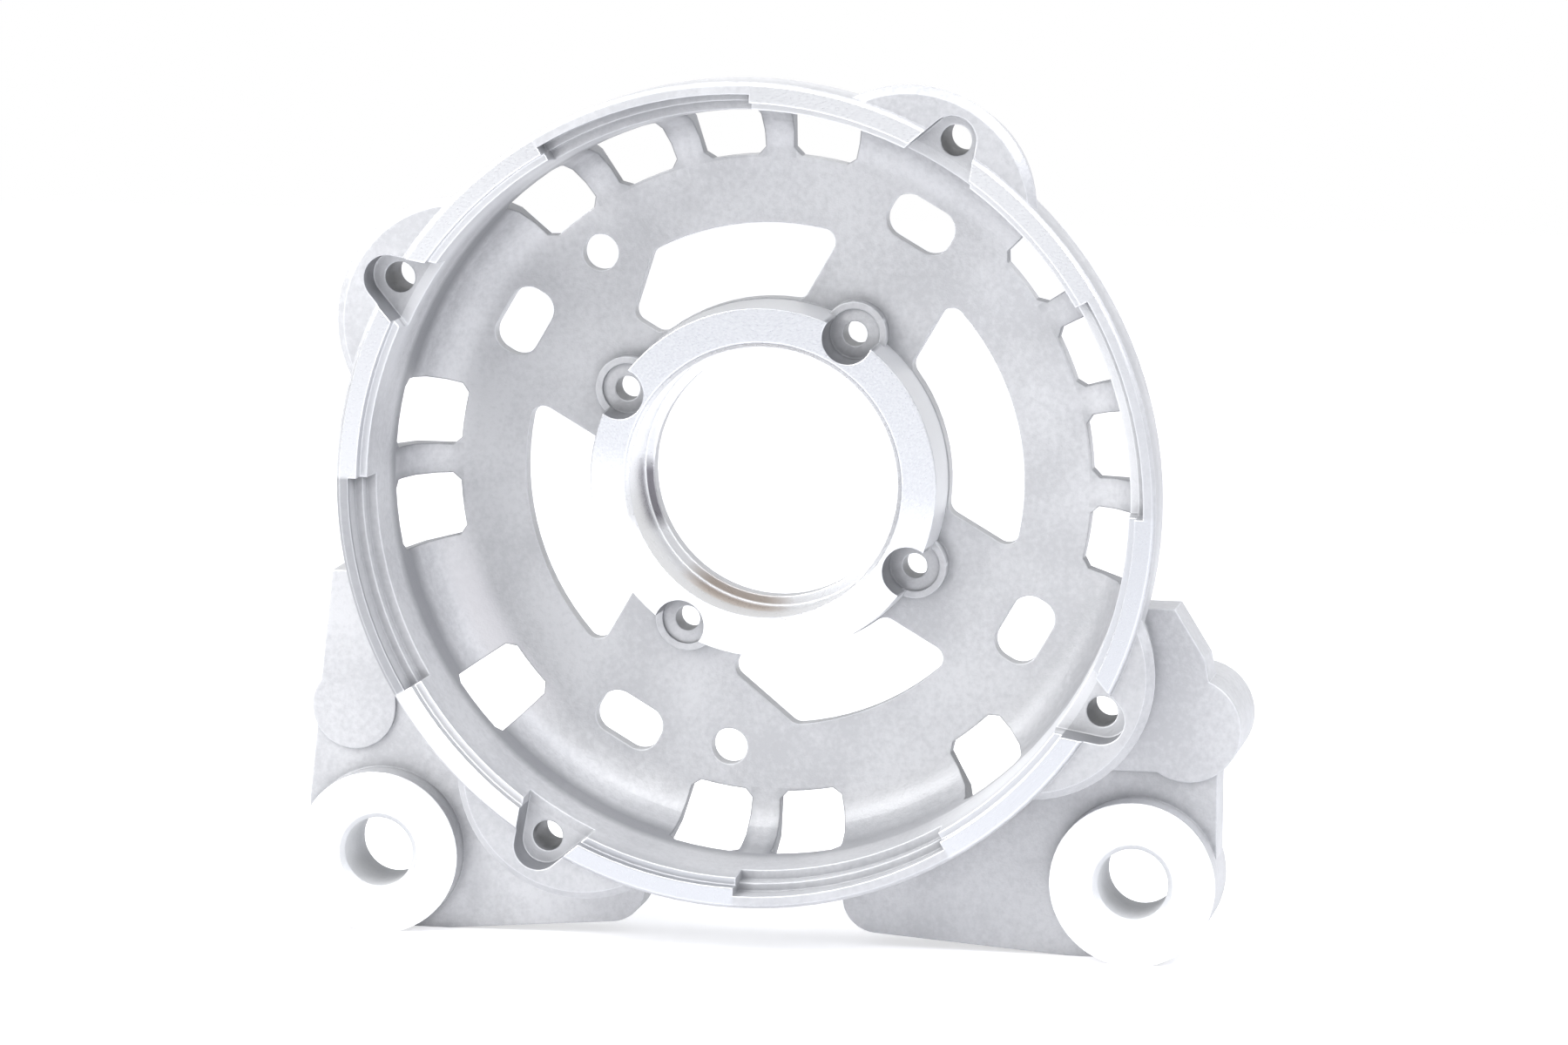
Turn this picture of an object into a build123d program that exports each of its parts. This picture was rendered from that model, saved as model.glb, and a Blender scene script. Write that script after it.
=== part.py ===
from build123d import *
from math import cos, pi, radians, sin, tan
import os

# Drive end cover of an alternator, one aluminium casting.
# The shaft axis is Y, the open side, where the stator seats, looks towards -Y, and the feet are at -Z.
# The origin is on the shaft axis, in the plane of the shoulder that the bearing rests on.
# Depths are measured back from the machined land of the open side. Angles run from +X towards +Z.

# Rim and land
rim_radius = 93.3
rim_depth = 11.5
rim_chamfer = 0.8
land_inner_radius = 88.6
seat_depth = 3.0

# Bowl behind the rim
wall = 4.0
bowl_mouth_radius = 86.9
bowl_draft = 5.0
bowl_corner_radius = 11.0
inner_corner_steps = 3
outer_corner_steps = 2
end_wall_depth = 37.0

# Hub with the bearing seat
hub_face_depth = 24.0
hub_face_radius = 39.9
hub_root_radius = 40.5
bearing_diameter = 62.0
bearing_width = 17.0
bearing_lead_in = 1.2
shoulder_radius = 28.8
shoulder_thickness = 4.0
outer_hub_radius = 35.0

# Four ears for the through bolts
ear_angles = [59.8 + 90 * step for step in range(4)]
bolt_circle_radius = 93.0
bolt_hole_diameter = 7.0
ear_centre_radius = 74.7
ear_radius = 28.6
ear_front_depth = 1.0
ear_back_depth = 24.0
ear_draft = 10.0
ear_edge_chamfer = 1.8
pocket_depth = 9.5
pocket_radius = 5.4
pocket_centre_radius = 94.0
pocket_flare = 20.0
pocket_reach = 16.0

# Lowered arcs of the rim, one midway between each two ears
lowered_span = 32.0
lip_width = 2.8
tread_depth = 6.0
ledge_depth = 9.5

# Vent windows through the corner of the bowl
window_offsets = [21.0, 37.0, 53.0, 69.0]
closed_windows = [(1, 2), (2, 2)]
window_span = 11.0
window_inner_radius = 73.5
window_outer_radius = 92.0
window_front_depth = 22.5
window_corner_cut = 1.8

# Four kidney openings in the end wall with parallel sided spokes between them
kidney_outer_radius = 58.0
kidney_inner_radius = 40.8
spoke_width = 28.6
kidney_corner_radius = 3.0
kidney_cut_offset = 16.0
first_cut_turn = 57.5
first_cut_distance = 42.2
second_cut_turn = 54.5
second_cut_distance = 41.2

# Holes in the end wall
oval_circle_radius = 67.4
oval_length = 16.0
oval_width = 10.5
oval_corner_radius = 4.5
round_hole_circle_radius = 64.3
round_hole_diameter = 8.4
round_hole_offset = 24.0

# Retainer screws around the bearing seat
screw_circle_radius = 38.6
screw_hole_diameter = 5.7
screw_boss_radius = 7.4
screw_boss_depth = 33.2
spot_face_radius = 5.8
spot_face_depth = 34.0

# Feet
foot_half_spacing = 87.2
foot_drop = 86.3
foot_radius = 18.75
foot_face_depth = 10.5
foot_length = 19.0
foot_hole_diameter = 16.0
foot_hole_chamfer = 1.5
base_below_foot = 18.3
base_drop = foot_drop + base_below_foot

# Webs that carry the feet, each an outline from its inner top corner round to its outer top corner
web_depth = 17.3
web_thickness = 4.0
web_flange_depth = 28.0
web_flange_width = 4.5
web_corner_radius = 8.0
left_web = [
    (-26.0, -22.0),
    (-26.0, -100.8),
    (-72.0, -base_drop),
    (-foot_half_spacing, -base_drop),
    (-105.0, -foot_drop),
    (-104.8, -75.5),
    (-98.8, -22.0),
]
right_web = [
    (20.0, -24.4),
    (20.0, -100.8),
    (72.0, -base_drop),
    (foot_half_spacing, -base_drop),
    (105.2, -foot_drop),
    (105.4, -51.0),
    (102.3, -35.4),
    (95.5, -24.4),
]

# Raised pads on the webs, each with a round lug behind it
pad_depth = 16.5
left_lug_centre = (-94.0, -53.6)
left_lug_radius = 9.8
left_lug_back_depth = 32.0
right_lug_centre = (98.6, -51.6)
right_lug_radius = 12.0
right_lug_back_depth = 40.5
left_pad = [(-84.2, -22.0), (-84.2, -53.6), (-102.3, -53.6), (-98.8, -22.0)]
right_pad = [(70.0, -24.4), (70.0, -61.5), (105.2, -61.5), (105.2, -51.0), (102.3, -35.4), (95.5, -24.4)]

# Worked out from the sizes above
end_face_depth = end_wall_depth + wall
shoulder_depth = hub_face_depth + bearing_width
hub_end_depth = shoulder_depth + shoulder_thickness
bearing_radius = bearing_diameter / 2
lip_inner_radius = rim_radius - lip_width
lowered_angles = [angle + 45 for angle in ear_angles]
first_side = (lowered_angles[0], 1)
second_side = (lowered_angles[2], -1)
past_surface = 1.0
through_wall = 2 * wall
past_outline = 4 * rim_radius


def across(depth, angle=0.0):
    """Plane across the shaft axis at a depth, facing the open side, with local x turned to an angle."""
    turn = radians(angle)
    return Plane(origin=(0, depth - shoulder_depth, 0), x_dir=(cos(turn), 0, sin(turn)), z_dir=(0, -1, 0))


def along(angle=0.0):
    """Plane through the shaft axis at an angle, with local x outwards and local y back from the land."""
    turn = radians(angle)
    return Plane(origin=(0, -shoulder_depth, 0), x_dir=(cos(turn), 0, sin(turn)), z_dir=(-sin(turn), 0, cos(turn)))


def wall_radius(mouth_radius, depth):
    """Radius of the drafted bowl wall at a depth."""
    return mouth_radius - (depth - seat_depth) * tan(radians(bowl_draft))


def round_corner(corner, radius, steps):
    """Points of the round corner from the drafted wall to the end wall, in short steps that keep the facets few."""
    draft = radians(bowl_draft)
    centre_radius = corner[0] - radius * (1 - sin(draft)) / cos(draft)
    centre_depth = corner[1] - radius
    turns = [draft + (pi / 2 - draft) * step / steps for step in range(steps + 1)]
    return [(centre_radius + radius * cos(turn), centre_depth + radius * sin(turn)) for turn in turns]


bowl_outer_radius = bowl_mouth_radius + wall
angle_axis = Axis((0, 0, 0), (0, -1, 0))
inner_corner = (wall_radius(bowl_mouth_radius, end_wall_depth), end_wall_depth)
outer_corner = (wall_radius(bowl_outer_radius, end_face_depth), end_face_depth)

# Window cutter, a wedge about the shaft axis
with BuildPart() as window_cutter:
    with BuildSketch(along(-window_span / 2)):
        with BuildLine():
            Polyline(
                (window_inner_radius, window_front_depth),
                (window_outer_radius, window_front_depth),
                (window_outer_radius, hub_end_depth),
                (window_inner_radius, hub_end_depth),
                close=True,
            )
        make_face()
    revolve(axis=angle_axis, revolution_arc=window_span)
    wedge_sides = window_cutter.edges().filter_by(GeomType.LINE)
    chamfer(wedge_sides, length=window_corner_cut)

# Ear lobe for the ear angle 0, with a chamfer round its front
with BuildPart() as ear_lobe:
    for radius, front_depth, back_depth, taper in (
        (ear_radius - ear_edge_chamfer, ear_front_depth, ear_front_depth + ear_edge_chamfer, -45),
        (ear_radius, ear_front_depth + ear_edge_chamfer, ear_back_depth, ear_draft),
    ):
        with BuildSketch(across(front_depth)):
            with Locations((ear_centre_radius, 0)):
                Circle(radius)
        extrude(amount=front_depth - back_depth, taper=taper)

# The cover
with BuildPart() as cover:
    # Outer form turned about the shaft axis
    with BuildSketch(along()):
        with BuildLine():
            Polyline(
                (0, 0),
                (rim_radius - rim_chamfer, 0),
                (rim_radius, rim_chamfer),
                (rim_radius, rim_depth),
                (wall_radius(bowl_outer_radius, rim_depth), rim_depth),
                *round_corner(outer_corner, bowl_corner_radius + wall, outer_corner_steps),
                (outer_hub_radius, end_face_depth),
                (outer_hub_radius, hub_end_depth),
                (0, hub_end_depth),
                close=True,
            )
        make_face()
    revolve(axis=Axis.Y)

    # Ears
    for angle in ear_angles:
        with Locations(Location((0, 0, 0), (0, -angle, 0))):
            add(ear_lobe.part)

    # Webs with a flange round the back
    for outline in (left_web, right_web):
        for back_depth in (web_depth + web_thickness, web_flange_depth):
            with BuildSketch(across(web_depth)) as web:
                with BuildLine():
                    Polyline(*outline, close=True)
                make_face()
                web_corner = web.vertices().sort_by_distance((*outline[1], 0))[0]
                fillet(web_corner, radius=web_corner_radius)
                if back_depth == web_flange_depth:
                    offset(amount=-web_flange_width, mode=Mode.SUBTRACT)
            extrude(amount=web_depth - back_depth)

    # Pads and lugs
    with BuildSketch(across(pad_depth)):
        Polygon(*left_pad, align=None)
        Polygon(*right_pad, align=None)
        with Locations(left_lug_centre):
            Circle(left_lug_radius)
    extrude(amount=pad_depth - web_depth - web_thickness)
    for centre, radius, back_depth in (
        (left_lug_centre, left_lug_radius, left_lug_back_depth),
        (right_lug_centre, right_lug_radius, right_lug_back_depth),
    ):
        with BuildSketch(across(pad_depth)):
            with Locations(centre):
                Circle(radius)
        extrude(amount=pad_depth - back_depth)

    # Feet
    with BuildSketch(across(foot_face_depth)):
        with Locations((-foot_half_spacing, -foot_drop), (foot_half_spacing, -foot_drop)):
            Circle(foot_radius)
    extrude(amount=-foot_length)

    # Flat base under the feet
    with BuildSketch(Plane.XY.offset(-base_drop)):
        Rectangle(past_outline, past_outline)
    extrude(amount=-foot_radius, mode=Mode.SUBTRACT)

    # Inside of the bowl around the hub
    with BuildSketch(along()):
        with BuildLine():
            Polyline(
                (0, -past_surface),
                (land_inner_radius, -past_surface),
                (land_inner_radius, seat_depth),
                (bowl_mouth_radius, seat_depth),
                *round_corner(inner_corner, bowl_corner_radius, inner_corner_steps),
                (hub_root_radius, end_wall_depth),
                (hub_face_radius, hub_face_depth),
                (0, hub_face_depth),
                close=True,
            )
        make_face()
    revolve(axis=Axis.Y, mode=Mode.SUBTRACT)

    # Lowered arcs of the rim, each with a tread and a deeper ledge
    for angle in lowered_angles:
        for outer_radius, depth in ((lip_inner_radius, tread_depth), (land_inner_radius, ledge_depth)):
            with BuildSketch(across(0, angle)):
                Circle(outer_radius)
                Circle(hub_root_radius, mode=Mode.SUBTRACT)
                half_width = rim_radius * tan(radians(lowered_span / 2))
                Polygon((0, 0), (rim_radius, -half_width), (rim_radius, half_width), align=None, mode=Mode.INTERSECT)
            extrude(amount=-depth, mode=Mode.SUBTRACT)

    # Bearing bore with its shoulder
    with BuildSketch(along()):
        with BuildLine():
            Polyline(
                (0, hub_face_depth),
                (bearing_radius + bearing_lead_in, hub_face_depth),
                (bearing_radius, hub_face_depth + bearing_lead_in),
                (bearing_radius, shoulder_depth),
                (shoulder_radius, shoulder_depth),
                (shoulder_radius, hub_end_depth),
                (0, hub_end_depth),
                close=True,
            )
        make_face()
    revolve(axis=Axis.Y, mode=Mode.SUBTRACT)

    # Screw bosses with spot faces that cut into the hub, and screw holes
    for radius, front_depth, back_depth, mode in (
        (screw_boss_radius, screw_boss_depth, end_face_depth, Mode.ADD),
        (spot_face_radius, hub_face_depth - past_surface, spot_face_depth, Mode.SUBTRACT),
        (screw_hole_diameter / 2, spot_face_depth, hub_end_depth + past_surface, Mode.SUBTRACT),
    ):
        with BuildSketch(across(front_depth)):
            with PolarLocations(screw_circle_radius, len(ear_angles), start_angle=ear_angles[0]):
                Circle(radius)
            Circle(bearing_radius + bearing_lead_in, mode=Mode.SUBTRACT)
        extrude(amount=front_depth - back_depth, mode=mode)

    # Kidney openings, two of them with one end cut back beside a round hole
    with BuildSketch(across(end_wall_depth)) as kidneys:
        Circle(kidney_outer_radius)
        Circle(kidney_inner_radius, mode=Mode.SUBTRACT)
        with PolarLocations(kidney_outer_radius / 2, len(ear_angles), start_angle=ear_angles[0]):
            Rectangle(kidney_outer_radius + past_surface, spoke_width, mode=Mode.SUBTRACT)
        for (middle, way), turn, distance in (
            (first_side, first_cut_turn, first_cut_distance),
            (second_side, second_cut_turn, second_cut_distance),
        ):
            with PolarLocations(distance, 1, start_angle=middle + way * turn):
                with Locations((0, -way * kidney_cut_offset)):
                    side = Align.MAX if way > 0 else Align.MIN
                    Rectangle(kidney_outer_radius, kidney_outer_radius, align=(Align.MIN, side), mode=Mode.SUBTRACT)
        fillet(kidneys.vertices(), radius=kidney_corner_radius)
    extrude(amount=through_wall, both=True, mode=Mode.SUBTRACT)

    # Oval and round holes in the end wall
    with BuildSketch(across(end_wall_depth)):
        with PolarLocations(oval_circle_radius, len(ear_angles), start_angle=ear_angles[0]):
            RectangleRounded(oval_width, oval_length, oval_corner_radius)
        for middle, way in (first_side, second_side):
            with PolarLocations(round_hole_circle_radius, 1, start_angle=middle + way * round_hole_offset):
                Circle(round_hole_diameter / 2)
    extrude(amount=through_wall, both=True, mode=Mode.SUBTRACT)

    # Vent windows, four in each quadrant except the two that are closed
    for quadrant, ear_angle in enumerate(ear_angles):
        for place, offset in enumerate(window_offsets):
            if (quadrant, place) not in closed_windows:
                with Locations(Location((0, 0, 0), (0, -(ear_angle + offset), 0))):
                    add(window_cutter.part, mode=Mode.SUBTRACT)

    # Bolt pockets, each with a bolt hole through its floor
    for angle in ear_angles:
        tip = pocket_centre_radius + pocket_radius * sin(radians(pocket_flare))
        tip_half_width = pocket_radius * cos(radians(pocket_flare))
        mouth = tip - pocket_reach * cos(radians(pocket_flare))
        mouth_half_width = tip_half_width + pocket_reach * sin(radians(pocket_flare))
        with BuildSketch(across(0, angle)):
            with Locations((pocket_centre_radius, 0)):
                Circle(pocket_radius)
            Polygon(
                (tip, tip_half_width),
                (mouth, mouth_half_width),
                (mouth, -mouth_half_width),
                (tip, -tip_half_width),
                align=None,
            )
        extrude(amount=-pocket_depth, mode=Mode.SUBTRACT)
        with BuildSketch(across(pocket_depth, angle)):
            with Locations((bolt_circle_radius, 0)):
                Circle(bolt_hole_diameter / 2)
        extrude(amount=pocket_depth - ear_back_depth - past_surface, mode=Mode.SUBTRACT)

    # Foot holes with chamfered mouths
    for hole_depth, hole_radius, taper in (
        (foot_length, foot_hole_diameter / 2, 0),
        (foot_hole_chamfer, foot_hole_diameter / 2 + foot_hole_chamfer, 45),
    ):
        with BuildSketch(across(foot_face_depth)):
            with Locations((-foot_half_spacing, -foot_drop), (foot_half_spacing, -foot_drop)):
                Circle(hole_radius)
        extrude(amount=-hole_depth, taper=taper, mode=Mode.SUBTRACT)

cover.part.label = "alternator_cover"
os.makedirs("parts", exist_ok=True)
export_step(cover.part, "parts/alternator_cover.step")
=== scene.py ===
from collections import namedtuple
from math import cos, radians, sin

import bpy
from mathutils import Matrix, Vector

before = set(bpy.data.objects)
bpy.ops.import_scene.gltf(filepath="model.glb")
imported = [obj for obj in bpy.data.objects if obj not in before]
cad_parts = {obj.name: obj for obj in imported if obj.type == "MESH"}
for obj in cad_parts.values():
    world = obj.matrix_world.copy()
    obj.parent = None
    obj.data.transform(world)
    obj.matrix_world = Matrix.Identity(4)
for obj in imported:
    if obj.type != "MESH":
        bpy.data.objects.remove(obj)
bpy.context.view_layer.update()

# A side of the cover: the angle of its middle round the shaft axis, in degrees from +X towards +Z, the
# cosines of the turn from there at which a change starts and is full, and its amounts outside and inside
Side = namedtuple("Side", "angle start full outside inside")
# A gradual change of an amount between two values of a measure
Fade = namedtuple("Fade", "start end at_start at_end")
# Masks of the machined faces
Machined = namedtuple("Machined", "hub bore foot foot_hole faced everywhere")
# Mask round the vent windows, turn from the first window after each ear, and mask of the bars
Windows = namedtuple("Windows", "around from_first has_bars")

# Camera, as fitted to the photograph
CAMERA_AZIMUTH = 11.72
CAMERA_ELEVATION = 8.86
CAMERA_DISTANCE = 1.5
CAMERA_TARGET = Vector((0.0, -0.0315, 0.0))
CAMERA_LENS = 153.6
CAMERA_SHIFT = (0.0222, -0.0189)

# Lamps: name, azimuth and elevation in degrees, distance and size in metres, power in watts, and colour
LAMPS = (
    ("key_softbox", -60.0, 36.0, 0.9, 0.7, 9.5, (1.0, 1.0, 1.0)),
    ("top_softbox", 10.0, 68.0, 1.2, 0.8, 6.0, (1.0, 1.0, 1.0)),
    ("right_softbox", 72.0, 40.0, 1.2, 0.7, 10.0, (0.94, 0.95, 1.0)),
)

# Light from all round, and the floor
AMBIENT_COLOUR = (0.93, 0.96, 1.0, 1.0)
AMBIENT_STRENGTH = 0.45
FLOOR_COLOUR = (0.8, 0.8, 0.82, 1.0)
FLOOR_GLOW = 0.55
FLOOR_HEIGHT = -0.1046
FLOOR_SIDE = 3.0
FLOOR_FRONT = -4.0
FLOOR_BACK = 1.4
WHITE = (1.0, 1.0, 1.0, 1.0)

# Pattern round the shaft axis, in degrees
EAR_COUNT = 4
EAR_STEP = 360.0 / EAR_COUNT
EAR_ANGLE = 59.8
LOWERED_ANGLES = (14.8, 104.8, 194.8, 284.8)
LEFT_LOWERED_ANGLE = LOWERED_ANGLES[2]
LOWERED_HALF_SPAN = 16.0
WINDOWS_PER_EAR = 4
FIRST_WINDOW = 21.0
WINDOW_STEP = 16.0
WINDOW_HALF_SPAN = 5.5

# Depths of faces behind the land, in metres
POCKET_DEPTH = 0.0095
FOOT_FACE_DEPTH = 0.0105
WEB_DEPTH = 0.0173
HUB_FACE_DEPTH = 0.024
SHOULDER_DEPTH = 0.041

# Layers of the cover, as front and back depth behind the land
LAND_LAYER = (-0.001, 0.0003)
LIP_LAYER = (-0.001, 0.001)
REGISTER_LAYER = (-0.001, 0.0031)
POCKET_LAYER = (0.0006, POCKET_DEPTH)
BOLT_HOLE_LAYER = (POCKET_DEPTH, 0.0245)
WALL_TURN_LAYER = (0.021, 0.0262)
WINDOW_LAYER = (0.0223, 0.045)
HUB_WALL_LAYER = (HUB_FACE_DEPTH + 0.0004, 0.0365)
SPOT_FACE_LAYER = (HUB_FACE_DEPTH + 0.0004, SHOULDER_DEPTH)
BORE_LAYER = (HUB_FACE_DEPTH, SHOULDER_DEPTH + 0.0003)
BORE_REFLECTION_LAYER = (0.034, 0.039)
SHOULDER_LAYER = (SHOULDER_DEPTH - 0.0004, SHOULDER_DEPTH + 0.0004)
BOWL_FLOOR_DEPTH = 0.026

# Rings of the cover, as inner and outer radius round the shaft axis
SHOULDER_RING = (0.0286, 0.0305)
BORE_RING = (0.0, 0.0325)
HUB_RING = (0.0, 0.0401)
SPOT_FACE_RING = (0.0325, 0.0446)
HUB_WALL_RING = (0.0394, 0.045)
WINDOW_RING = (0.073, 0.0915)
CORNER_HIGHLIGHT_RING = (0.0745, 0.0785)
CORNER_AND_WALL_RING = (0.0775, 0.0886)
WALL_RING = (0.0815, 0.0886)
REGISTER_RING = (0.0868, 0.0886)
LAND_RING = (0.0884, 0.0935)
POCKET_RING = (0.0887, 0.0997)
BOLT_HOLE_RING = (0.0893, 0.0967)
LIP_RING = (0.0904, 0.0935)
BOWL_FLOOR_RADIUS = 0.086

# Middles of the feet from the shaft axis, and rings round the middle of each foot
FOOT_HALF_SPACING = 0.0872
FOOT_DROP = 0.0863
FOOT_DISC = (0.0, 0.01875)
FOOT_HOLE_DISC = (0.0, 0.0098)

# The round corner of the bowl: radius of its arc, where the arc's middle is, and how far from the
# middle the corner's surface lies. Its surface faces the middle at least as well as this cosine.
BOWL_CORNER_RADIUS = 0.011
BOWL_CORNER_MIDDLE_RADIUS = 0.0738
BOWL_CORNER_MIDDLE_DEPTH = 0.026
BOWL_CORNER_REACH = (BOWL_CORNER_RADIUS - 0.0012, BOWL_CORNER_RADIUS + 0.0006)
BOWL_CORNER_FACING = 0.9

# Distances over which the edge of a tone fades, and distance that a face's tone reaches past its depth
SOFT = 0.0002
HUB_WALL_SOFT = 0.0004
BORE_REFLECTION_SOFT = 0.002
CORNER_SOFT = 0.003
WALL_TURN_SOFT = 0.0035
FACE_REACH = 0.0003

# Cosines of the turn from the nearest ear between which its pocket, bolt hole and spot face begin, and
# of the turn from the middle of a lowered arc between which that arc begins
POCKET_EDGE = (0.9945, 0.9955)
BOLT_HOLE_EDGE = (0.9985, 0.999)
SPOT_FACE_EDGE = (0.985, 0.988)
LOWERED_EDGE = (cos(radians(LOWERED_HALF_SPAN)) - 0.001, cos(radians(LOWERED_HALF_SPAN)) + 0.001)

# Colours, linear
CAST_DARK = (0.49, 0.493, 0.508)
CAST_LIGHT = (0.59, 0.593, 0.607)
# Painted shade, mixed into the cast skin wherever it is shaded
CAST_SHADE = (0.16, 0.165, 0.18)
# Painted shade on the cut sides of the vent windows
WINDOW_CUT_SHADE = (0.22, 0.225, 0.24)
# Painted highlight on the bowl's corner, low left
CORNER_HIGHLIGHT = (0.70, 0.69, 0.71)
# Painted light on the bowl wall and on the floors of the bolt pockets
PAINTED_LIGHT = (0.74, 0.745, 0.76)
# Painted light on the hub's outer wall
HUB_WALL = (0.80, 0.805, 0.82)
# The land's tone runs between these by painted highlight and painted shade
LAND_DARK = (0.48, 0.49, 0.515)
LAND_LIGHT = (0.67, 0.675, 0.69)
FACED_DARK = (0.51, 0.52, 0.55)
FACED_LIGHT = (0.60, 0.61, 0.63)
BORE = (0.74, 0.745, 0.76)
# Painted reflections: brown on the bore wall, dark and brown on the shoulder
BORE_REFLECTION = (0.62, 0.53, 0.46)
SHOULDER_DARK_REFLECTION = (0.13, 0.12, 0.14)
SHOULDER_BROWN_REFLECTION = (0.30, 0.25, 0.21)
# Foot faces; also mixed into the hub face as its painted highlight
FOOT_FACE = (0.93, 0.935, 0.94)
# Painted shade deep in the foot holes
FOOT_BORE_SHADE = (0.44, 0.45, 0.47)
WORN_EDGE = (0.88, 0.89, 0.92)

# Patterns: scale, detail and roughness
CLOUD = (38.0, 3.0, 0.55)
MOTTLE = (700.0, 3.0, 0.65)
GRAIN = (2200.0, 2.0, 0.6)
TURNED_RINGS = (2200.0, 3.0, 0.5)

# Tones of the cast skin, most of them painted shade and painted light that stand in for how the light
# falls. The amounts are shares of the colour that is mixed in.
CLOUD_SHARE = 0.5
MOTTLE_SHARE = 0.5
SKIN_CONTRAST = Fade(0.41, 0.59, 0.0, 1.0)
# Painted shade in narrow places, from how open each place is
NARROW_PLACE_REACH = 0.0035
NARROW_PLACE_SHADE = Fade(0.25, 0.85, 0.7, 0.0)
NEARBY_SAMPLES = 6
# Painted shade along the line where the bowl wall turns into its corner, most on the left and less on the
# bars
DARK_WALL_SIDE = Side(195.0, -0.3, 0.5, 0.12, 1.0)
WALL_TURN_SHADE = 0.62
WALL_TURN_BAR_RELIEF = 0.55
# Painted shade low on the bowl wall
LOW_WALL_SIDE = Side(273.0, 0.85, 0.93, 0.0, 0.2)
# Painted light on the bowl wall, on its right and at the upper left of its mouth
PAINTED_LIGHT_SIDE = Side(10.0, 0.3, 0.5, 0.0, 0.75)
PAINTED_LIGHT_TOP_RIGHT = Side(60.0, 0.8, 1.0, 1.0, 0.6)
PAINTED_LIGHT_DEPTHS = Fade(0.019, 0.021, 1.0, 0.0)
PAINTED_LIGHT_MOUTH_SIDE = Side(143.0, 0.9, 0.98, 0.0, 0.8)
PAINTED_LIGHT_MOUTH_DEPTHS = Fade(0.009, 0.014, 1.0, 0.0)
# Painted shadow on the left of the bowl's floor
BOWL_FLOOR_SHADE_RADII = Fade(0.07, 0.077, 1.0, 0.0)
BOWL_FLOOR_SHADE_ACROSS = Fade(-0.015, -0.075, 0.0, 0.22)
# Painted shade on the ears, least on the upper left one, and on the right web; the lip of the left lowered
# arc is darker
EAR_SHADE_SIDE = Side(149.8, 0.0, 0.9, 0.21, 0.06)
EAR_SHADE_DEPTHS = Fade(0.004, 0.008, 1.0, 0.0)
LEFT_LIP_SHADE = 0.62
WEB_SHADE_ACROSS = Fade(-0.01, 0.04, 0.0, 0.1)
# Painted light on the hub's outer wall, most towards the right
HUB_WALL_SIDE = Side(20.0, -0.2, 0.7, 0.4, 0.95)
HUB_WALL_STEEPNESS = 0.4
# Painted shade on the bowl's corner and the deep part of its wall, low right
CORNER_SHADE_SIDE = Side(310.0, 0.62, 0.9, 0.0, 0.27)
CORNER_SHADE_DEPTHS = Fade(0.0195, 0.021, 0.0, 1.0)
# Painted highlight on the bowl's corner, low left
CORNER_HIGHLIGHT_SIDE = Side(210.0, 0.94, 0.99, 0.0, 0.7)
# Painted light on the floors of the bolt pockets
POCKET_FLOOR_RADII = Fade(0.0905, 0.0945, 0.2, 0.85)
# Painted shade on the walls of the pockets, bolt holes and spot faces
HOLE_WALL_SHADE = 0.68
SPOT_FACE_DEPTHS = Fade(0.026, 0.031, 1.15, 0.5)
# Painted shade along both sides of the bars between vent windows
BAR_SIDE_TURN = Fade(1.1, WINDOW_STEP / 2 - WINDOW_HALF_SPAN, 0.0, 0.6)
BAR_SIDE_DEPTHS = Fade(0.036, 0.026, 0.3, 1.0)
BAR_OVERLAP = 0.3
BAR_SOFT = 0.1
# Painted shade on the windows' cut sides, by how far they face sideways
CUT_FACING = Fade(0.1, 0.6, 0.0, 0.85)

# Tones of the machined faces. Each lowered arc is dulled towards cast skin, and so is the register.
LOWERED_DULLED = (0.4, 0.75, 0.92, 0.75)
REGISTER_MACHINED = 0.8
# Painted highlight and painted shade round the land, by side
LAND_SHADE_SIDE = Side(335.0, 0.2, 0.95, 0.5, 0.05)
LAND_LIT_SIDE = Side(60.0, 0.7, 0.95, 0.0, 0.35)
LAND_WHITE_SIDE = Side(224.0, 0.96, 0.985, 0.0, 0.9)
LAND_PALE_SIDE = Side(135.0, 0.94, 0.985, 0.0, 0.35)
LAND_GREY_SIDE = Side(259.0, 0.93, 0.97, 0.0, 0.6)
LAND_RING_CONTRAST = Fade(0.3, 0.7, -0.12, 0.12)
FACED_RING_CONTRAST = Fade(0.3, 0.7, 0.0, 1.0)
# Painted highlight on the lower side of the hub face
HUB_BRIGHT_SIDE = Side(262.0, -0.1, 0.6, 0.0, 0.9)
# Sides of the shoulder's painted dark and brown reflections
SHOULDER_DARK_REFLECTION_SIDE = Side(191.0, 0.955, 0.985, 0.0, 0.85)
SHOULDER_BROWN_REFLECTION_SIDE = Side(252.0, 0.90, 0.975, 0.0, 0.7)
# Painted shade deepening into the foot holes
FOOT_BORE_SHADE_DEPTHS = Fade(0.0125, 0.025, 0.5, 1.0)

# Gloss, fine height and worn edges
CAST_ROUGHNESS = Fade(0.3, 0.7, 0.44, 0.58)
TURNED_ROUGHNESS = Fade(0.3, 0.7, 0.26, 0.36)
CAST_METAL = Fade(0.3, 0.7, 0.32, 0.46)
TURNED_METAL = 1.0
GRAIN_HEIGHT = 0.6
TURNED_HEIGHT = 0.15
HEIGHT_STRENGTH = 0.35
HEIGHT_DISTANCE = 0.00025
EDGE_RADIUS = 0.0006
EDGE_WEAR = Fade(0.985, 0.88, 0.0, 0.6)
EDGE_WEAR_OPENNESS = Fade(0.45, 0.8, 0.0, 1.0)


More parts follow.
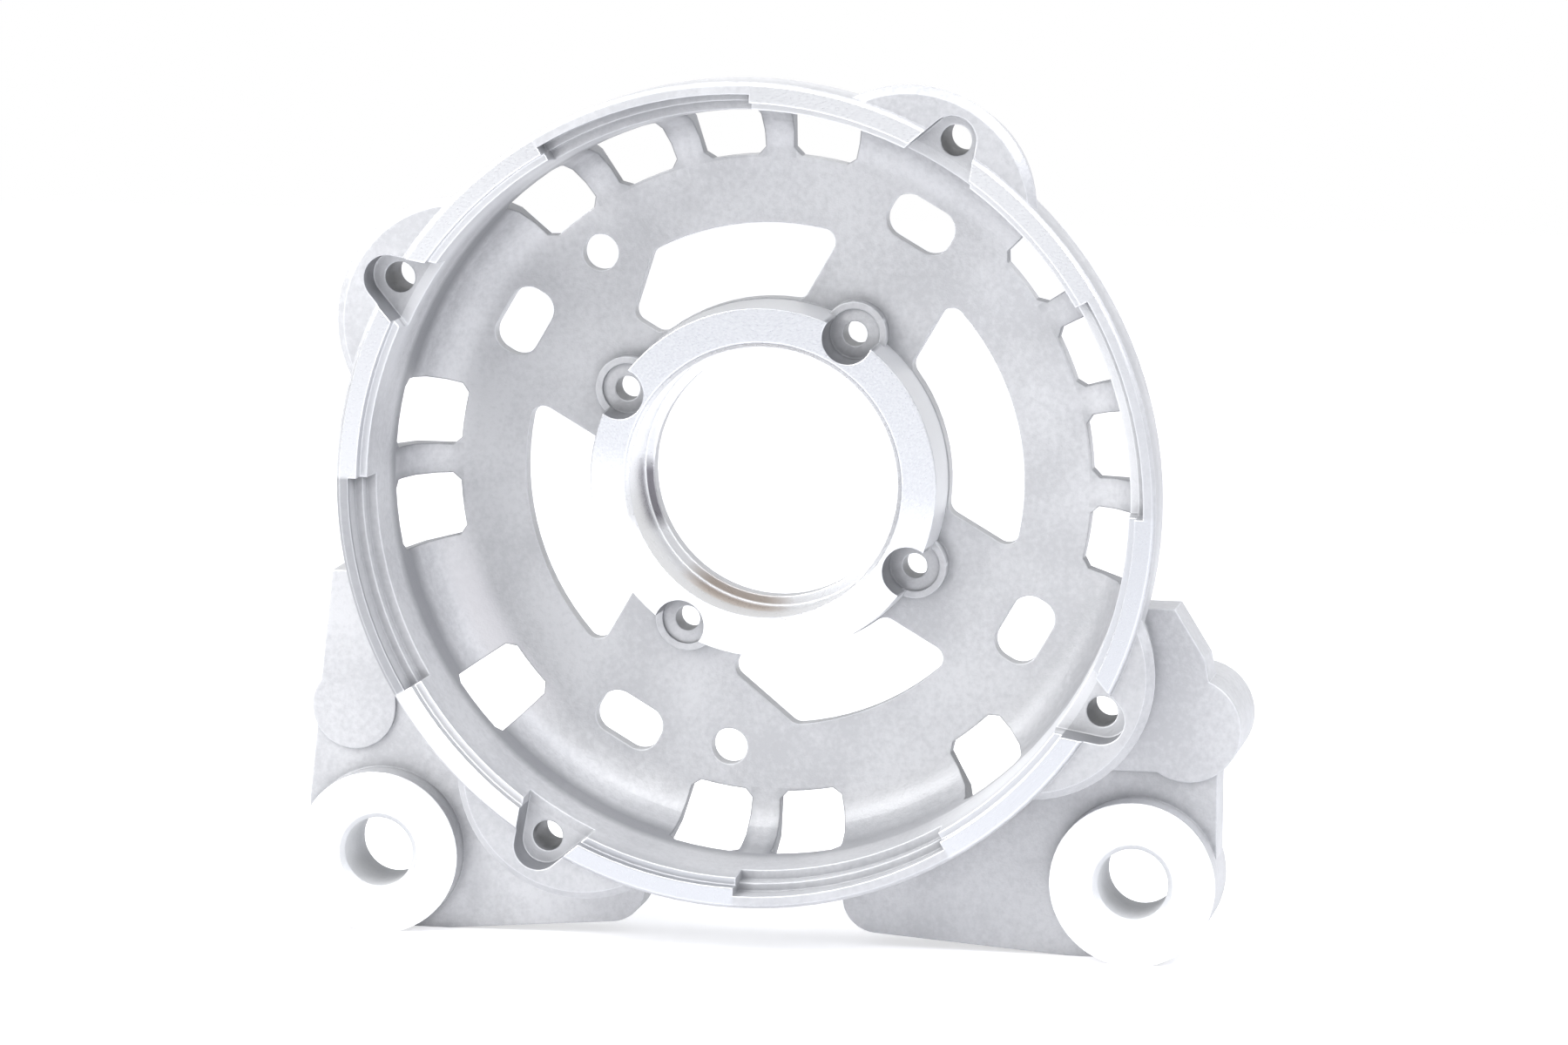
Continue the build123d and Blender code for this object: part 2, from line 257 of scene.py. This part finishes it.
class Nodes:
    """Short ways to add and link the nodes of one material."""

    def __init__(self, tree):
        self.tree = tree

    def add(self, kind, inputs=None, **settings):
        node = self.tree.nodes.new(kind)
        for name, value in settings.items():
            setattr(node, name, value)
        for name, value in (inputs or {}).items():
            self.put(node.inputs[name], value)
        return node

    def put(self, socket, value):
        """Link or set an input socket."""
        if isinstance(value, bpy.types.NodeSocket):
            self.tree.links.new(value, socket)
        else:
            socket.default_value = value

    def math(self, operation, first, second=0.0, clamp=False):
        node = self.add("ShaderNodeMath", {0: first, 1: second}, operation=operation, use_clamp=clamp)
        return node.outputs[0]

    def product(self, *factors):
        result = factors[0]
        for factor in factors[1:]:
            result = self.math("MULTIPLY", result, factor)
        return result

    def total(self, *terms):
        result = terms[0]
        for term in terms[1:]:
            result = self.math("ADD", result, term)
        return result

    def highest(self, *values):
        result = values[0]
        for value in values[1:]:
            result = self.math("MAXIMUM", result, value)
        return result

    def outside(self, mask):
        """1 where a mask is 0, and 0 where it is 1."""
        return self.math("SUBTRACT", 1.0, mask)

    def ramp(self, value, low, high, out_low, out_high):
        inputs = {"Value": value, "From Min": low, "From Max": high, "To Min": out_low, "To Max": out_high}
        return self.add("ShaderNodeMapRange", inputs).outputs[0]

    def band(self, value, low, high, soft):
        """1 where value is from low to high, falling to 0 over soft on each side."""
        rise = self.ramp(value, low - soft, low, 0.0, 1.0)
        fall = self.ramp(value, high + soft, high, 0.0, 1.0)
        return self.product(rise, fall)

    def mix(self, factor, first, second):
        node = self.add("ShaderNodeMix", data_type="RGBA")
        self.put(node.inputs["Factor"], factor)
        self.put(node.inputs["A"], first if isinstance(first, bpy.types.NodeSocket) else (*first, 1.0))
        self.put(node.inputs["B"], second if isinstance(second, bpy.types.NodeSocket) else (*second, 1.0))
        return node.outputs["Result"]

    def blend(self, factor, first, second, data_type="FLOAT"):
        node = self.add("ShaderNodeMix", {"Factor": factor, "A": first, "B": second}, data_type=data_type)
        return node.outputs["Result"]

    def vector(self, x, y, z):
        return self.add("ShaderNodeCombineXYZ", {"X": x, "Y": y, "Z": z}).outputs[0]

    def length(self, vector):
        return self.add("ShaderNodeVectorMath", {0: vector}, operation="LENGTH").outputs["Value"]

    def unit(self, vector):
        return self.add("ShaderNodeVectorMath", {0: vector}, operation="NORMALIZE").outputs["Vector"]

    def dot(self, first, second):
        node = self.add("ShaderNodeVectorMath", {0: first, 1: second}, operation="DOT_PRODUCT")
        return node.outputs["Value"]

    def noise(self, vector, scale, detail, roughness):
        inputs = {"Vector": vector, "Scale": scale, "Detail": detail, "Roughness": roughness}
        return self.add("ShaderNodeTexNoise", inputs).outputs["Fac"]


class CoverNodes(Nodes):
    """Nodes of the cover's finish, with the places and patterns that its tones start from."""

    def __init__(self, tree):
        super().__init__(tree)
        place = self.add("ShaderNodeTexCoord").outputs["Object"]
        self.x, y, self.z = self.add("ShaderNodeSeparateXYZ", {0: place}).outputs
        self.depth = self.math("ADD", y, SHOULDER_DEPTH)
        across = self.vector(self.x, 0.0, self.z)
        self.radius = self.length(across)
        self.direction = self.unit(across)
        foot_x = self.math("SUBTRACT", self.math("ABSOLUTE", self.x), FOOT_HALF_SPACING)
        self.foot_radius = self.length(self.vector(foot_x, 0.0, self.math("ADD", self.z, FOOT_DROP)))

        self.face_normal = self.add("ShaderNodeNewGeometry").outputs["Normal"]
        bevel = self.add("ShaderNodeBevel", {"Radius": EDGE_RADIUS}, samples=NEARBY_SAMPLES)
        self.rounded_normal = bevel.outputs["Normal"]
        openness = self.add(
            "ShaderNodeAmbientOcclusion",
            {"Distance": NARROW_PLACE_REACH},
            samples=NEARBY_SAMPLES,
            only_local=True,
        )
        self.openness = openness.outputs["AO"]
        self.open_side = self.math("GREATER_THAN", self.dot(self.face_normal, (0.0, -1.0, 0.0)), 0.0)
        along_shaft = self.dot(self.face_normal, (0.0, 1.0, 0.0))
        self.steepness = self.outside(self.math("ABSOLUTE", along_shaft))
        ear_angles = [EAR_ANGLE + EAR_STEP * step for step in range(EAR_COUNT)]
        self.nearest_ear = self.highest(*[self.towards(angle) for angle in ear_angles])

        self.cloud = self.noise(place, *CLOUD)
        self.mottle = self.noise(place, *MOTTLE)
        self.grain = self.noise(place, *GRAIN)
        self.rings = self.noise(self.vector(self.radius, self.foot_radius, self.depth), *TURNED_RINGS)

    def towards(self, angle):
        """Cosine of the turn round the shaft axis from an angle."""
        turn = radians(angle)
        return self.dot(self.direction, (cos(turn), 0.0, sin(turn)))

    def side(self, side):
        """Amount that changes with the turn round the shaft axis."""
        return self.ramp(self.towards(side.angle), side.start, side.full, side.outside, side.inside)

    def at_ears(self, edge):
        """1 near the middle of each ear."""
        return self.ramp(self.nearest_ear, *edge, 0.0, 1.0)

    def ring(self, radii, soft=SOFT):
        """1 between two radii round the shaft axis."""
        return self.band(self.radius, *radii, soft)

    def layer(self, depths, soft=SOFT):
        """1 between two depths behind the land."""
        return self.band(self.depth, *depths, soft)

    def face(self, depth):
        """1 on the faces at a depth behind the land."""
        return self.layer((depth - FACE_REACH, depth + FACE_REACH))


def find_machined(n):
    """Masks of the machined faces: the land, the hub face, the bore, and the feet with their holes."""
    lowered = n.highest(*[
        n.ramp(n.towards(angle), *LOWERED_EDGE, 0.0, dulled)
        for angle, dulled in zip(LOWERED_ANGLES, LOWERED_DULLED)
    ])
    land = n.product(n.layer(LAND_LAYER), n.ring(LAND_RING), n.outside(lowered))
    register = n.product(n.layer(REGISTER_LAYER), n.ring(REGISTER_RING), REGISTER_MACHINED)
    land = n.highest(land, register)
    hub = n.product(n.face(HUB_FACE_DEPTH), n.ring(HUB_RING))
    bore = n.product(n.layer(BORE_LAYER), n.ring(BORE_RING))
    foot = n.product(n.face(FOOT_FACE_DEPTH), n.band(n.foot_radius, *FOOT_DISC, SOFT))
    foot_hole = n.band(n.foot_radius, *FOOT_HOLE_DISC, SOFT)
    faced = n.highest(hub, bore, foot)
    return Machined(hub, bore, foot, foot_hole, faced, n.highest(land, faced))


def find_windows(n):
    """The places round the vent windows, and which of them have bars between windows."""
    around = n.product(n.layer(WINDOW_LAYER), n.ring(WINDOW_RING))
    turn = n.math("DEGREES", n.math("ARCTAN2", n.z, n.x))
    from_ear = n.math("FLOORED_MODULO", n.math("SUBTRACT", turn, EAR_ANGLE), EAR_STEP)
    from_first = n.math("SUBTRACT", from_ear, FIRST_WINDOW)
    first_bar = WINDOW_HALF_SPAN - BAR_OVERLAP
    last_bar = (WINDOWS_PER_EAR - 1) * WINDOW_STEP - WINDOW_HALF_SPAN + BAR_OVERLAP
    among_windows = n.band(from_first, first_bar, last_bar, BAR_SOFT)

    # On the lower side, only the first two windows after an ear have a bar between them
    lower_side = n.math("LESS_THAN", n.towards(EAR_ANGLE), 0.0)
    beyond_first = n.math("GREATER_THAN", from_first, WINDOW_STEP)
    has_bars = n.product(among_windows, n.outside(n.product(lower_side, beyond_first)))
    return Windows(around, from_first, has_bars)


def cast_skin(n):
    """Cast skin with a broad cloudy tone and mottle, and painted shade in narrow places."""
    skin = n.total(n.product(n.cloud, CLOUD_SHARE), n.product(n.mottle, MOTTLE_SHARE))
    tone = n.mix(n.ramp(skin, *SKIN_CONTRAST), CAST_DARK, CAST_LIGHT)
    return n.mix(n.ramp(n.openness, *NARROW_PLACE_SHADE), tone, CAST_SHADE)


def tone_bowl(n, tone, windows):
    """Painted light on the bowl wall's right and upper left mouth; painted shade low on the wall, along its
    turn, most on the left, and on the left of the bowl's floor.
    """
    on_wall = n.ring(WALL_RING)
    tone = n.mix(n.product(on_wall, n.side(LOW_WALL_SIDE), n.open_side), tone, CAST_SHADE)
    painted_lit_side = n.product(n.side(PAINTED_LIGHT_SIDE), n.side(PAINTED_LIGHT_TOP_RIGHT))
    painted_lit_mouth = n.product(n.side(PAINTED_LIGHT_MOUTH_SIDE), n.ramp(n.depth, *PAINTED_LIGHT_MOUTH_DEPTHS))
    painted_lit_depths = n.ramp(n.depth, *PAINTED_LIGHT_DEPTHS)
    painted_lit_wall = n.product(n.highest(painted_lit_side, painted_lit_mouth), on_wall, painted_lit_depths, n.open_side)
    tone = n.mix(painted_lit_wall, tone, PAINTED_LIGHT)
    on_bar = n.product(windows.has_bars, windows.around, WALL_TURN_BAR_RELIEF)
    turn_line = n.product(n.layer(WALL_TURN_LAYER, WALL_TURN_SOFT), on_wall, WALL_TURN_SHADE)
    tone = n.mix(n.product(turn_line, n.side(DARK_WALL_SIDE), n.outside(on_bar)), tone, CAST_SHADE)
    deep = n.math("GREATER_THAN", n.depth, BOWL_FLOOR_DEPTH)
    within_wall = n.math("LESS_THAN", n.radius, BOWL_FLOOR_RADIUS)
    on_floor = n.product(deep, within_wall, n.open_side, n.ramp(n.radius, *BOWL_FLOOR_SHADE_RADII))
    return n.mix(n.product(on_floor, n.ramp(n.x, *BOWL_FLOOR_SHADE_ACROSS)), tone, CAST_SHADE)


def tone_front(n, tone):
    """Painted shade on the ears, least on the upper left one, and on the right web, and a darker lip on the
    left lowered arc.
    """
    ears = n.product(n.side(EAR_SHADE_SIDE), n.ramp(n.depth, *EAR_SHADE_DEPTHS))
    tone = n.mix(ears, tone, CAST_SHADE)
    lip_turn = n.ramp(n.towards(LEFT_LOWERED_ANGLE), *LOWERED_EDGE, 0.0, LEFT_LIP_SHADE)
    lip = n.product(lip_turn, n.ring(LIP_RING), n.layer(LIP_LAYER))
    tone = n.mix(lip, tone, CAST_SHADE)
    web = n.product(n.face(WEB_DEPTH), n.open_side, n.ramp(n.x, *WEB_SHADE_ACROSS))
    return n.mix(web, tone, CAST_SHADE)


def tone_hub_wall_and_corner(n, tone):
    """Painted light on the hub's outer wall, and on the bowl's corner painted shade low right and a painted
    highlight low left.
    """
    steep = n.math("GREATER_THAN", n.steepness, HUB_WALL_STEEPNESS)
    hub_wall = n.product(n.layer(HUB_WALL_LAYER, HUB_WALL_SOFT), n.ring(HUB_WALL_RING), n.open_side, steep)
    tone = n.mix(n.product(hub_wall, n.side(HUB_WALL_SIDE)), tone, HUB_WALL)
    corner_and_wall = n.product(n.ring(CORNER_AND_WALL_RING, CORNER_SOFT), n.open_side)
    corner_shade = n.product(corner_and_wall, n.side(CORNER_SHADE_SIDE), n.ramp(n.depth, *CORNER_SHADE_DEPTHS))
    tone = n.mix(corner_shade, tone, CAST_SHADE)
    painted_highlight = n.product(n.ring(CORNER_HIGHLIGHT_RING, CORNER_SOFT), n.open_side, n.side(CORNER_HIGHLIGHT_SIDE))
    return n.mix(painted_highlight, tone, CORNER_HIGHLIGHT)


def tone_holes(n, tone):
    """Painted light on the floors of the bolt pockets, and painted shade on the walls of the pockets, bolt
    holes and spot faces.
    """
    at_pockets = n.product(n.ring(POCKET_RING), n.at_ears(POCKET_EDGE))
    floors = n.product(n.face(POCKET_DEPTH), n.open_side, at_pockets, n.ramp(n.radius, *POCKET_FLOOR_RADII))
    tone = n.mix(floors, tone, PAINTED_LIGHT)
    pockets = n.product(n.layer(POCKET_LAYER), at_pockets)
    bolt_holes = n.product(n.layer(BOLT_HOLE_LAYER), n.ring(BOLT_HOLE_RING), n.at_ears(BOLT_HOLE_EDGE))
    spot_faces = n.product(
        n.layer(SPOT_FACE_LAYER),
        n.ring(SPOT_FACE_RING),
        n.at_ears(SPOT_FACE_EDGE),
        n.ramp(n.depth, *SPOT_FACE_DEPTHS),
    )
    walls = n.product(n.highest(pockets, bolt_holes, spot_faces), n.steepness, HOLE_WALL_SHADE)
    return n.mix(walls, tone, CAST_SHADE)


def tone_windows(n, tone, windows):
    """Painted shade along both sides of the bars and on the cut sides of the vent windows."""
    from_window = n.math("FLOORED_MODULO", windows.from_first, WINDOW_STEP)
    from_bar = n.math("ABSOLUTE", n.math("SUBTRACT", from_window, WINDOW_STEP / 2))
    bars = n.product(windows.has_bars, windows.around, n.open_side)
    bar_sides = n.product(bars, n.ramp(from_bar, *BAR_SIDE_TURN), n.ramp(n.depth, *BAR_SIDE_DEPTHS))
    tone = n.mix(bar_sides, tone, CAST_SHADE)
    sideways = n.unit(n.vector(n.product(n.z, -1.0), 0.0, n.x))
    turned_aside = n.math("ABSOLUTE", n.dot(n.rounded_normal, sideways))
    return n.mix(n.product(windows.around, n.ramp(turned_aside, *CUT_FACING)), tone, WINDOW_CUT_SHADE)


def turned_tone(n, machined):
    """Tone of the turned faces, with fine rings about the shaft axis and about each foot, painted highlight
    and painted shade round the land by side, and a painted highlight on the lower side of the hub face.
    """
    shine = n.total(
        n.side(LAND_SHADE_SIDE),
        n.side(LAND_LIT_SIDE),
        n.side(LAND_WHITE_SIDE),
        n.side(LAND_PALE_SIDE),
    )
    shine = n.math("SUBTRACT", shine, n.side(LAND_GREY_SIDE))
    shine = n.math("ADD", shine, n.ramp(n.rings, *LAND_RING_CONTRAST), clamp=True)
    tone = n.mix(shine, LAND_DARK, LAND_LIGHT)
    faced_tone = n.mix(n.ramp(n.rings, *FACED_RING_CONTRAST), FACED_DARK, FACED_LIGHT)
    tone = n.mix(machined.faced, tone, faced_tone)
    # Painted highlight on the lower side of the hub face
    tone = n.mix(n.product(machined.hub, n.side(HUB_BRIGHT_SIDE)), tone, FOOT_FACE)
    tone = n.mix(n.math("SUBTRACT", machined.bore, machined.hub, clamp=True), tone, BORE)
    return n.mix(machined.foot, tone, FOOT_FACE)


def tone_shoulder(n, tone, machined):
    """Painted reflections on the bearing seat: dark at two places round the shoulder's ring, and brown at
    one of them and on the bore wall beside it.
    """
    shoulder = n.product(n.layer(SHOULDER_LAYER), n.ring(SHOULDER_RING))
    brown_reflection = n.side(SHOULDER_BROWN_REFLECTION_SIDE)
    tone = n.mix(n.product(shoulder, n.side(SHOULDER_DARK_REFLECTION_SIDE)), tone, SHOULDER_DARK_REFLECTION)
    tone = n.mix(n.product(shoulder, brown_reflection), tone, SHOULDER_BROWN_REFLECTION)
    reflecting_wall = n.product(n.layer(BORE_REFLECTION_LAYER, BORE_REFLECTION_SOFT), machined.bore, brown_reflection)
    return n.mix(reflecting_wall, tone, BORE_REFLECTION)


def smooth_corner(n):
    """Rounded normal, which in the bowl's corner is taken from the middle of the corner's arc."""
    outwards = n.math("SUBTRACT", n.radius, BOWL_CORNER_MIDDLE_RADIUS)
    backwards = n.math("SUBTRACT", n.depth, BOWL_CORNER_MIDDLE_DEPTH)
    share = n.math("DIVIDE", outwards, n.radius)
    from_middle = n.vector(n.product(n.x, share), backwards, n.product(n.z, share))
    inwards = n.add(
        "ShaderNodeVectorMath",
        {0: n.unit(from_middle), "Scale": -1.0},
        operation="SCALE",
    ).outputs["Vector"]
    in_corner = n.product(
        n.math("GREATER_THAN", outwards, 0.0),
        n.math("GREATER_THAN", backwards, 0.0),
        n.band(n.length(from_middle), *BOWL_CORNER_REACH, SOFT),
        n.math("GREATER_THAN", n.dot(n.rounded_normal, inwards), BOWL_CORNER_FACING),
    )
    return n.blend(in_corner, n.rounded_normal, inwards, "VECTOR")


def empty_tree(owner):
    """Node tree of a material or world, with nothing in it."""
    owner.use_nodes = True
    owner.node_tree.nodes.clear()
    return owner.node_tree


def cast_aluminium():
    """Die cast skin with machined faces, told apart by where they lie on the cover."""
    material = bpy.data.materials.new("cast_aluminium")
    n = CoverNodes(empty_tree(material))
    machined = find_machined(n)
    windows = find_windows(n)

    cast = cast_skin(n)
    cast = tone_bowl(n, cast, windows)
    cast = tone_front(n, cast)
    cast = tone_hub_wall_and_corner(n, cast)
    cast = tone_holes(n, cast)
    cast = tone_windows(n, cast, windows)
    turned = turned_tone(n, machined)
    turned = tone_shoulder(n, turned, machined)
    colour = n.mix(machined.everywhere, cast, turned)
    # Painted shade deepening into the foot holes
    foot_bore_shade = n.mix(n.ramp(n.depth, *FOOT_BORE_SHADE_DEPTHS), FOOT_FACE, FOOT_BORE_SHADE)
    colour = n.mix(n.product(machined.foot_hole, n.outside(machined.foot)), colour, foot_bore_shade)

    facing = n.dot(n.rounded_normal, n.face_normal)
    worn = n.product(n.ramp(facing, *EDGE_WEAR), n.ramp(n.openness, *EDGE_WEAR_OPENNESS))
    colour = n.mix(n.product(worn, n.outside(windows.around)), colour, WORN_EDGE)

    cast_roughness = n.ramp(n.mottle, *CAST_ROUGHNESS)
    turned_roughness = n.ramp(n.rings, *TURNED_ROUGHNESS)
    roughness = n.blend(machined.everywhere, cast_roughness, turned_roughness)
    metal = n.blend(machined.everywhere, n.ramp(n.cloud, *CAST_METAL), TURNED_METAL)
    cast_height = n.total(n.product(n.grain, GRAIN_HEIGHT), n.mottle)
    height = n.blend(machined.everywhere, cast_height, n.product(n.rings, TURNED_HEIGHT))
    bump = n.add(
        "ShaderNodeBump",
        {
            "Strength": HEIGHT_STRENGTH,
            "Distance": HEIGHT_DISTANCE,
            "Height": height,
            "Normal": smooth_corner(n),
        },
    )
    surface = n.add(
        "ShaderNodeBsdfPrincipled",
        {"Base Color": colour, "Metallic": metal, "Roughness": roughness, "Normal": bump.outputs["Normal"]},
    )
    n.add("ShaderNodeOutputMaterial", {"Surface": surface.outputs[0]})
    return material


def white_when_seen(n):
    """Background white for the camera, glossy and transmission rays."""
    path = n.add("ShaderNodeLightPath")
    kinds = ("Is Camera Ray", "Is Glossy Ray", "Is Transmission Ray")
    return n.highest(*[path.outputs[kind] for kind in kinds])


def floor_material():
    """White as seen, and still darkened by the cover's shadow."""
    material = bpy.data.materials.new("floor")
    n = Nodes(empty_tree(material))
    glow_strength = n.product(white_when_seen(n), FLOOR_GLOW)
    diffuse = n.add("ShaderNodeBsdfDiffuse", {"Color": FLOOR_COLOUR})
    glow = n.add("ShaderNodeEmission", {"Color": WHITE, "Strength": glow_strength})
    both = n.add("ShaderNodeAddShader", {0: diffuse.outputs[0], 1: glow.outputs[0]})
    n.add("ShaderNodeOutputMaterial", {"Surface": both.outputs[0]})
    return material


def make_floor():
    mesh = bpy.data.meshes.new("floor")
    corners = [
        (-FLOOR_SIDE, FLOOR_FRONT, FLOOR_HEIGHT),
        (FLOOR_SIDE, FLOOR_FRONT, FLOOR_HEIGHT),
        (FLOOR_SIDE, FLOOR_BACK, FLOOR_HEIGHT),
        (-FLOOR_SIDE, FLOOR_BACK, FLOOR_HEIGHT),
    ]
    mesh.from_pydata(corners, [], [(0, 1, 2, 3)])
    mesh.materials.append(floor_material())
    floor = bpy.data.objects.new("floor", mesh)
    bpy.context.scene.collection.objects.link(floor)


def make_world():
    """Soft light from all round, in front of a white background."""
    world = bpy.data.worlds.new("studio")
    bpy.context.scene.world = world
    n = Nodes(empty_tree(world))
    soft = n.add("ShaderNodeBackground", {"Color": AMBIENT_COLOUR, "Strength": AMBIENT_STRENGTH})
    white = n.add("ShaderNodeBackground", {"Color": WHITE, "Strength": 1.0})
    mixed = n.add("ShaderNodeMixShader", {0: white_when_seen(n), 1: soft.outputs[0], 2: white.outputs[0]})
    n.add("ShaderNodeOutputWorld", {"Surface": mixed.outputs[0]})


def add_facing_cover(name, data, azimuth, elevation, distance):
    """Lamp or camera at an azimuth and elevation from the cover, turned towards it."""
    holder = bpy.data.objects.new(name, data)
    a, e = radians(azimuth), radians(elevation)
    back = Vector((sin(a) * cos(e), -cos(a) * cos(e), sin(e)))
    holder.location = CAMERA_TARGET + back * distance
    holder.rotation_euler = back.to_track_quat("Z", "Y").to_euler()
    bpy.context.scene.collection.objects.link(holder)
    return holder


def make_lamp(name, azimuth, elevation, distance, size, power, colour):
    data = bpy.data.lights.new(name, "AREA")
    data.shape = "SQUARE"
    data.size = size
    data.energy = power
    data.color = colour
    add_facing_cover(name, data, azimuth, elevation, distance)


def make_camera():
    data = bpy.data.cameras.new("camera")
    data.lens = CAMERA_LENS
    data.shift_x, data.shift_y = CAMERA_SHIFT
    camera = add_facing_cover("camera", data, CAMERA_AZIMUTH, CAMERA_ELEVATION, CAMERA_DISTANCE)
    bpy.context.scene.camera = camera


finish = cast_aluminium()
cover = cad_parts["alternator_cover"]
cover.material_slots[0].material = finish

make_floor()
make_world()
for lamp in LAMPS:
    make_lamp(*lamp)
make_camera()
bpy.context.scene.view_settings.view_transform = "Standard"
